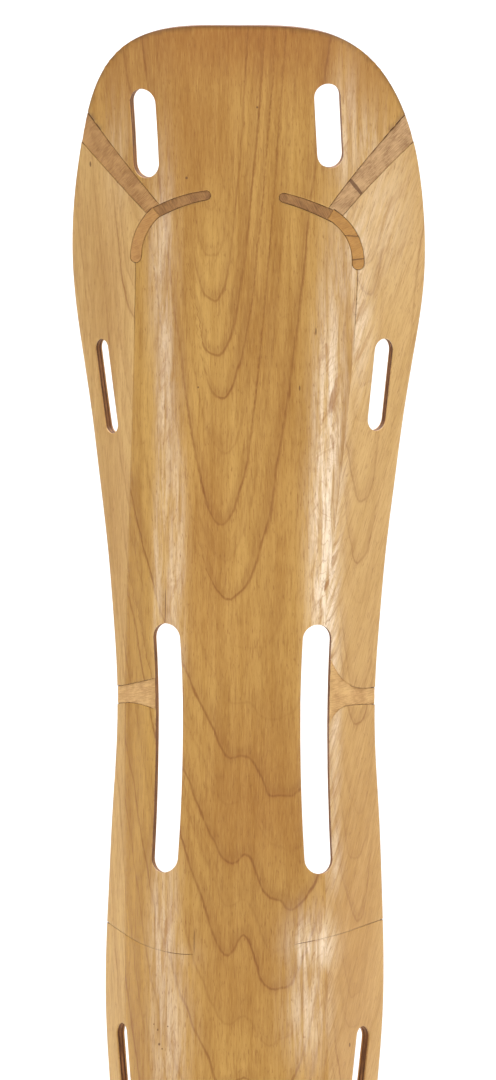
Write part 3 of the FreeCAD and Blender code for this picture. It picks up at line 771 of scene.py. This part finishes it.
class Nodes:
    """Short words for building a material's node tree."""

    def __init__(self, name):
        self.material = bpy.data.materials.new(name)
        self.material.use_nodes = True
        self.tree = self.material.node_tree
        self.tree.nodes.clear()

    def add(self, kind, inputs=None, **settings):
        node = self.tree.nodes.new(kind)
        for key, value in settings.items():
            setattr(node, key, value)
        for key, value in (inputs or {}).items():
            self.put(node.inputs[key], value)
        return node

    def put(self, socket, value):
        if isinstance(value, bpy.types.NodeSocket):
            self.tree.links.new(value, socket)
        else:
            socket.default_value = value

    def math(self, operation, a, b=0.0, c=0.0, clamp=False):
        node = self.add("ShaderNodeMath", operation=operation, use_clamp=clamp)
        for socket, value in zip(node.inputs, (a, b, c)):
            self.put(socket, value)
        return node.outputs[0]

    def times(self, value, *others):
        for other in others:
            value = self.math("MULTIPLY", value, other)
        return value

    def weighted(self, *parts):
        """The sum of (value, weight) pairs."""
        total = self.times(*parts[0])
        for value, weight in parts[1:]:
            total = self.math("ADD", total, self.times(value, weight))
        return total

    def mix(self, share, a, b):
        node = self.add("ShaderNodeMix", data_type="RGBA", blend_type="MIX")
        self.put(node.inputs["Factor"], share)
        self.put(node.inputs["A"], a)
        self.put(node.inputs["B"], b)
        return node.outputs["Result"]

    def attribute(self, name):
        return self.add("ShaderNodeAttribute", attribute_name=name).outputs["Fac"]

    def noise(self, vector, scale, detail=2.0, roughness=0.5, distortion=0.0):
        node = self.add("ShaderNodeTexNoise", {
            "Vector": vector, "Scale": scale, "Detail": detail,
            "Roughness": roughness, "Distortion": distortion,
        })
        return node.outputs["Fac"]

    def stretch(self, vector, scale, turn=0.0, shift=(0.0, 0.0, 0.0)):
        """The vector turned about Z, moved, then scaled along each axis."""
        turned = self.add("ShaderNodeMapping", {
            "Vector": vector, "Location": shift, "Rotation": (0.0, 0.0, turn),
        }).outputs[0]
        return self.add("ShaderNodeMapping", {"Vector": turned, "Scale": scale}).outputs[0]

    def steps(self, value, low, high, start=0.0, end=1.0):
        """A smooth step from start to end, while the value goes from low to high."""
        node = self.add("ShaderNodeMapRange", {
            "Value": value, "From Min": low, "From Max": high, "To Min": start, "To Max": end,
        }, interpolation_type="SMOOTHSTEP")
        return node.outputs[0]

    def surface(self, colour, roughness, height, bump_depth, coat=0.0):
        """The finished material, with a bump of the given height and depth."""
        bump = self.add("ShaderNodeBump", {
            "Height": height, "Distance": bump_depth, "Strength": 1.0,
        })
        shader = self.add("ShaderNodeBsdfPrincipled", {
            "Base Color": colour, "Roughness": roughness, "Normal": bump.outputs[0],
            "Coat Weight": coat, "Coat Roughness": 0.35, "Specular IOR Level": 0.35,
        })
        out = self.add("ShaderNodeOutputMaterial")
        self.tree.links.new(shader.outputs[0], out.inputs["Surface"])
        return self.material


def rgb(red, green, blue):
    """A colour given in sRGB steps of 0 to 255, as linear RGBA."""
    def linear(step):
        part = step / 255
        return part / 12.92 if part <= 0.04045 else ((part + 0.055) / 1.055) ** 2.4
    return (linear(red), linear(green), linear(blue), 1.0)


# The pale of real scuffs, also painted as a highlight along the bends; the curls and smears are
# brown marks within it.
SCUFF_AND_HIGHLIGHT, SCUFF_CURL, SCUFF_SMEAR = rgb(238, 217, 188), rgb(166, 118, 72), rgb(160, 113, 66)
OILED, WORN_RIM, MARK = rgb(152, 99, 34), rgb(84, 50, 28), rgb(98, 60, 30)


def face_material(name, light, dark, ring, turn=0.0, seed=0.0, wear_and_highlight_amount=1.0, marked=0.8):
    """Oiled flat-cut birch: growth rings, pores, streaks, scuffs with a painted highlight along
    the bends, and a satin film.
    """
    n = Nodes(name)
    place = n.add("ShaderNodeUVMap", uv_map="Unrolled").outputs[0]
    shift = (seed, seed * 1.7, seed * 0.3)

    def grain(across, along, detail=3.0, roughness=0.6, distortion=0.0, skew=0.0):
        """Noise with so many cells to the metre across and along the grain."""
        vector = n.stretch(place, (across, along, 1), turn + skew, shift)
        return n.noise(vector, 1.0, detail, roughness, distortion)

    broad = grain(34, 4.5, distortion=0.6)
    streak = grain(260, 12, 4.0)
    fibre = grain(820, 52, 4.0, 0.7)
    fleck = grain(1100, 210, 2.0)
    fine = grain(2300, 130, 2.0, 0.6)
    mottle = grain(120, 60, skew=0.3)

    # Tone of the wood, and where oil has darkened it.
    base = n.mix(n.steps(n.weighted((broad, 0.6), (streak, 0.4)), 0.3, 0.7), dark, light)
    base = n.mix(n.steps(mottle, 0.5, 0.75, 0.0, 0.25), base, light)
    base = n.mix(n.times(n.attribute("stained"), 0.75), base, OILED)

    # Growth rings: a crisp line with a soft shade on one side of it, distances in mm.
    count, ring_width = n.attribute("ring_count"), n.attribute("ring_width")
    part = n.math("SUBTRACT", count, n.math("ROUND", count))
    wander = n.times(n.math("SUBTRACT", grain(330, 60), 0.5), 2.0)
    distance = n.math("ADD", n.times(part, ring_width), wander)
    strength = n.times(n.attribute("ring_strength"), n.steps(ring_width, 2.0, 7.0))
    line = n.steps(n.math("ABSOLUTE", distance), 0.1, 1.1, 1.0, 0.0)
    shade = n.steps(n.math("ABSOLUTE", n.math("ADD", distance, 2.2)), 0.2, 5.4, 1.0, 0.0)
    uneven = n.steps(grain(60, 25), 0.3, 0.7, 0.45, 1.0)
    base = n.mix(n.times(shade, strength, 0.3), base, ring)
    base = n.mix(n.times(line, uneven, strength, 0.95), base, ring)

    # Scuffs and a painted highlight: a pale rub, real wear on the shoulders and a painted
    # highlight streaked along the bends, with curled lines and brown smears in it.
    wear_and_highlight = n.times(n.attribute("wear_and_highlight"), wear_and_highlight_amount)
    pale_streak_noise = grain(300, 22, 5.0, 0.68, 0.5)
    rubbed_and_highlight = n.times(wear_and_highlight, n.steps(pale_streak_noise, 0.36, 0.62, 0.25, 1.1))
    base = n.mix(n.math("MULTIPLY", rubbed_and_highlight, 0.95, clamp=True), base, SCUFF_AND_HIGHLIGHT)
    curl = n.times(grain(55, 26, 2.0, 0.5, 1.2), 9.0)
    curl = n.math("ABSOLUTE", n.math("SUBTRACT", n.math("FRACT", curl), 0.5))
    base = n.mix(n.times(n.steps(curl, 0.0, 0.16, 0.3, 0.0), wear_and_highlight), base, SCUFF_CURL)
    smear = grain(150, 34, 4.0, 0.65, 0.8, 0.25)
    base = n.mix(n.times(n.steps(smear, 0.54, 0.66, 0.0, 0.85), wear_and_highlight), base, SCUFF_SMEAR)

    # Fibres and pores, dark where the noise is low and light where it is high.
    base = n.mix(n.steps(fibre, 0.30, 0.5, 0.42, 0.0), base, ring)
    base = n.mix(n.steps(fibre, 0.54, 0.76, 0.0, 0.34), base, light)
    base = n.mix(n.steps(fleck, 0.26, 0.42, 0.5, 0.0), base, ring)
    base = n.mix(n.steps(fine, 0.3, 0.5, 0.3, 0.0), base, ring)
    base = n.mix(n.steps(fine, 0.5, 0.72, 0.0, 0.28), base, light)

    # The worn brown rim, and the marks.
    base = n.mix(n.times(n.attribute("rim"), 0.85), base, WORN_RIM)
    across, up = n.attribute("across"), n.attribute("up")
    mark = 0.0
    for at, drop, half_width, half_height in MARKS:
        aside = n.math("DIVIDE", n.math("SUBTRACT", across, at * MM), half_width * MM)
        above = n.math("DIVIDE", n.math("SUBTRACT", up, TOP - drop * MM), half_height * MM)
        far = n.math("ADD", n.times(aside, aside), n.times(above, above))
        mark = n.math("MAXIMUM", mark, n.steps(far, 0.4, 1.4, 1.0, 0.0))
    base = n.mix(n.times(mark, marked), base, MARK)

    height = n.weighted((fibre, 0.5), (streak, 0.25))
    height = n.math("ADD", height, n.steps(fleck, 0.25, 0.40, 0.0, 0.5))
    satin = n.steps(streak, 0.3, 0.7, 0.38, 0.52)
    roughness = n.math("ADD", satin, n.times(rubbed_and_highlight, 0.12))
    return n.surface(base, roughness, height, 0.12 * MM, coat=0.05)


def edge_material(name, light, dark, layer_scale, seed=0.0):
    """Sawn and sanded ply edge, seen in the slots and along the outline."""
    n = Nodes(name)
    place = n.add("ShaderNodeTexCoord").outputs["Object"]
    shift = (seed, seed, seed)
    coarse = n.noise(n.stretch(place, (90, 90, 90), 0.0, shift), 1.0, 4.0, 0.6)
    fine = n.noise(n.stretch(place, (900, 900, 260), 0.0, shift), 1.0, 4.0, 0.65)
    band = n.noise(n.stretch(place, layer_scale, 0.0, shift), 1.0, 2.0, 0.5)
    tone = n.weighted((coarse, 0.4), (fine, 0.35), (band, 0.25))
    base = n.mix(n.steps(tone, 0.36, 0.64), dark, light)
    height = n.math("ADD", fine, n.times(coarse, 0.4))
    return n.surface(base, n.steps(fine, 0.3, 0.7, 0.55, 0.75), height, 0.2 * MM)


JOINT_LINE = rgb(92, 56, 30)


def filler_material(name, light, dark, turn, seed, joints=()):
    """Rough filler strip with open grain across it, stained by glue and dust.

    The joints are lines across the strip, each (across, drop, fall to the right, width)."""
    n = Nodes(name)
    place = n.add("ShaderNodeUVMap", uv_map="Unrolled").outputs[0]
    shift = (seed, seed, 0.0)
    fibre = n.noise(n.stretch(place, (2200, 150, 1), turn, shift), 1.0, 4.0, 0.65)
    patch = n.noise(n.stretch(place, (160, 120, 1), turn, shift), 1.0, 4.0, 0.6, 0.4)
    tone = n.weighted((fibre, 0.55), (patch, 0.45))
    base = n.mix(n.steps(tone, 0.36, 0.62), dark, light)
    for across, drop, fall, width in joints:
        above = n.math("SUBTRACT", n.attribute("up"), TOP - drop * MM)
        beside = n.times(n.math("SUBTRACT", n.attribute("across"), across * MM), fall)
        off = n.math("ABSOLUTE", n.math("ADD", above, beside))
        rough = n.times(patch, width * MM)
        near = n.steps(n.math("SUBTRACT", off, rough), 0, 0.3 * MM, 1.0, 0.0)
        base = n.mix(n.times(near, 0.8), base, JOINT_LINE)
    height = n.math("ADD", fibre, patch)
    return n.surface(base, n.steps(fibre, 0.3, 0.7, 0.52, 0.72), height, 0.25 * MM)


face_centre = face_material(
    "birch_face_centre", rgb(194, 152, 79), rgb(158, 112, 45), rgb(126, 72, 16)
)
face_flank_left = face_material(
    "birch_face_left", rgb(204, 166, 106), rgb(180, 141, 82), rgb(146, 98, 50), 0.04, 3.1
)
face_flank_right = face_material(
    "birch_face_right", rgb(204, 166, 108), rgb(182, 143, 84), rgb(146, 100, 52), 0.35, 5.7
)
# The inner face takes a weaker share of the scuffs and the painted highlight.
face_inner = face_material(
    "birch_face_inner", rgb(196, 152, 90), rgb(168, 122, 64), rgb(124, 78, 36), 0.02, 9.3,
    wear_and_highlight_amount=0.4, marked=0.0,
)
crossband_edge = edge_material(
    "birch_crossband_edge", rgb(120, 78, 44), rgb(66, 38, 20), (30, 30, 30), 1.0
)
core_edge = edge_material(
    "birch_core_edge", rgb(150, 104, 62), rgb(92, 56, 30), (700, 700, 20), 2.0
)

# The filler strips' materials, by the part of the node's name that picks them.
FILLERS = {
    "outer_arm_left": filler_material(
        "birch_flush_left", rgb(184, 137, 78), rgb(160, 112, 60), 1.2, 8.0
    ),
    "outer_arm_right": filler_material(
        "birch_flush_right", rgb(184, 135, 70), rgb(158, 110, 52), 1.2, 8.5,
        [(58, 116.4, 0.05, 0.35), (62, 129.6, -0.1, 0.4)],
    ),
    "stem_left": filler_material(
        "birch_stem_left", rgb(182, 138, 84), rgb(142, 98, 54), 0.9, 4.0
    ),
    "stem_right": filler_material(
        "birch_stem_right", rgb(194, 156, 110), rgb(142, 103, 64), 0.9, 4.4,
        [(62, 89, 1.1, 2.6)],
    ),
    "inner_arm": filler_material(
        "birch_filler_dark", rgb(160, 116, 66), rgb(118, 78, 40), -0.5, 6.0
    ),
    "knee": filler_material(
        "birch_filler_knee", rgb(206, 165, 108), rgb(170, 127, 75), 1.4, 7.0
    ),
}


# ------------------------------------------------------------------ the veneers

SEAMS_FROM = 40 * MM      # the seams lie further across than this
CRACK_WIDTH = 0.16        # millimetres that an open seam's edges stand back
CRACK_FADE = 20           # millimetres over which a crack closes
OPEN_SEAM, CLOSED_SEAM = -0.05, -0.09     # millimetres moved to close up the CAD's gaps


def worn_joint(loop, is_outer):
    """How far a face veneer's edge point stands back: closed joints, open cracks.

    Below the darts' outer arms the joint has cracked open for a short way."""
    if not is_outer:
        return np.zeros(len(loop))
    drop = (TOP - loop[:, 1]) / MM
    joint = ~outline.near(loop) & (drop > CRACK_START) & (abs(loop[:, 0]) > SEAMS_FROM)
    rough = 1 + 0.6 * np.sin(drop * 1.9) * np.sin(drop * 0.53)
    crack = CRACK_WIDTH * rough * np.clip((CRACK_END - drop) / CRACK_FADE, 0, 1)
    moved = np.where(drop < CRACK_END, crack + OPEN_SEAM, CLOSED_SEAM)
    return np.where(joint, moved, 0) * MM


def ragged(loop, _is_outer):
    """How far a filler strip's rough cut edge stands back."""
    along = (loop[:, 0] + 0.6 * loop[:, 1]) / MM
    return (0.06 + 0.1 * np.sin(along * 1.7) * np.sin(along * 0.61 + 1)) * MM


def dress(obj, node, material):
    """Gives a piece its material and puts it in the place of its CAD node."""
    obj.data.materials.append(material)
    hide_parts(node)
    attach(obj, "root")


outline = Outline([
    even_loop(mould.unroll(points, 0.0), 1 * MM)
    for node in OUTER_NODES for points in sheet_of[node][0][1]
])

# The right flank takes the left flank's figure, moved across from its axis.
RIGHT_FLANK_SHIFT = (-2 * 66, 15)

for node in OUTER_NODES:
    middle = node == "outer_face_centre"
    spacing = 2.3 * MM if middle else 2.0 * MM
    look = veneer(
        f"veneer_{node}", node, 0.0, FACE_BOTTOM, spacing, rim_ease, wobble=worn_joint
    )
    if middle:
        paint(look, CENTRE_FIGURE)
        material = face_centre
    elif node.endswith("left"):
        paint(look, FLANK_FIGURE)
        material = face_flank_left
    else:
        paint(look, FLANK_FIGURE, RIGHT_FLANK_SHIFT)
        material = face_flank_right
    dress(look, node, material)

for node in FILLER_NODES:
    top = FLUSH if "outer_arm" in node else RECESSED
    look = veneer(
        f"strip_{node}", node, top, FACE_BOTTOM, 1.2 * MM, 0.14 * MM, 0.8 * MM, wobble=ragged
    )
    material = next(finish for part, finish in FILLERS.items() if part in node)
    dress(look, node, material)

for node in INNER_NODES:
    look = veneer(
        f"veneer_{node}", node, INNER_TOP, INNER_BOTTOM, 3.2 * MM, 0.05 * MM,
        face_side=1, ease_bottom=0.35 * MM,
    )
    paint(look, INNER_FIGURE)
    dress(look, node, face_inner)

GLUE_GAP = 0.02 * MM
for node, layer in HIDDEN_NODES.items():
    top, bottom = HIDDEN_LAYERS[layer]
    look = veneer(
        f"layer_{node}", node, top, bottom - GLUE_GAP, 9 * MM, 0.03 * MM, 1.4 * MM
    )
    if layer == "core":
        dress(look, node, core_edge)
    else:
        dress(look, node, crossband_edge)


# ------------------------------------------------------------- room and camera

def plane(name, corners, colour):
    """A matt surface that can't be seen from behind."""
    mesh = bpy.data.meshes.new(name)
    mesh.from_pydata(corners, [], [(0, 1, 2, 3)])
    obj = bpy.data.objects.new(name, mesh)
    bpy.context.scene.collection.objects.link(obj)
    n = Nodes(name)
    behind = n.add("ShaderNodeMixShader", {
        0: n.add("ShaderNodeNewGeometry").outputs["Backfacing"],
        1: n.add("ShaderNodeBsdfPrincipled", {"Base Color": colour, "Roughness": 0.9}).outputs[0],
        2: n.add("ShaderNodeBsdfTransparent").outputs[0],
    })
    out = n.add("ShaderNodeOutputMaterial")
    n.tree.links.new(behind.outputs[0], out.inputs["Surface"])
    mesh.materials.append(n.material)


def lamp(name, place, aim, width, height, power):
    """A rectangular area lamp turned towards a point."""
    data = bpy.data.lights.new(name, "AREA")
    data.shape = "RECTANGLE"
    data.size, data.size_y, data.energy = width, height, power
    obj = bpy.data.objects.new(name, data)
    obj.location = place
    obj.rotation_euler = (Vector(aim) - Vector(place)).to_track_quat("-Z", "Y").to_euler()
    bpy.context.scene.collection.objects.link(obj)


WALL = 0.9                # metres behind the splint
FLOOR = cad_box[0][2]
SIDE, CEILING = 6, 5      # how far the floor and the wall reach
PALE = (0.86, 0.86, 0.86, 1)
plane("floor", [
    (-SIDE, -SIDE, FLOOR), (SIDE, -SIDE, FLOOR), (SIDE, SIDE, FLOOR), (-SIDE, SIDE, FLOOR),
], PALE)
plane("wall", [
    (-SIDE, WALL, FLOOR), (SIDE, WALL, FLOOR), (SIDE, WALL, CEILING), (-SIDE, WALL, CEILING),
], PALE)

THIGH = (0, 0, 0.72 * TOP)
lamp("key_left", (-1.5, -1.7, 1.35), THIGH, 0.9, 1.6, 14)
lamp("key_right", (1.5, -1.7, 1.25), THIGH, 0.9, 1.6, 18)
lamp("front_fill", (0, -3.2, 1.6), THIGH, 1.8, 1.4, 9)
lamp("back_fill", (0.5, 3.2, 1.7), THIGH, 1.8, 1.4, 9)
lamp("wall_wash", (0, 0.3, 3.2), (0, WALL, 0.6), 3.5, 0.4, 150)

world = bpy.data.worlds.new("studio")
world.use_nodes = True
background = world.node_tree.nodes["Background"]
background.inputs["Color"].default_value = (1, 1, 1, 1)
background.inputs["Strength"].default_value = 0.35
bpy.context.scene.world = world
bpy.context.scene.view_settings.view_transform = "Standard"

# The photograph's view: square on, a little to the right, the top 600 mm of the splint.
AZIMUTH, ELEVATION, ROLL = math.radians(3.0), math.radians(1.5), math.radians(0.45)
DISTANCE = 12.0
SEEN_HEIGHT = 0.6010
ABOVE = 0.0136            # seen above the thigh end
SENSOR = 24               # millimetres
FRAME_CENTRE = Vector((-0.0002, 0.03, TOP + ABOVE - SEEN_HEIGHT / 2))
camera_data = bpy.data.cameras.new("camera")
camera_data.sensor_fit = "VERTICAL"
camera_data.sensor_height = SENSOR
camera_data.lens = SENSOR * DISTANCE / SEEN_HEIGHT
camera = bpy.data.objects.new("camera", camera_data)
towards = Vector((
    math.sin(AZIMUTH) * math.cos(ELEVATION),
    -math.cos(AZIMUTH) * math.cos(ELEVATION),
    math.sin(ELEVATION),
))
camera.location = FRAME_CENTRE + DISTANCE * towards
look_at = (FRAME_CENTRE - camera.location).to_track_quat("-Z", "Y")
camera.rotation_euler = look_at.to_euler()
camera.rotation_euler.rotate_axis("Z", ROLL)
bpy.context.scene.collection.objects.link(camera)
bpy.context.scene.camera = camera
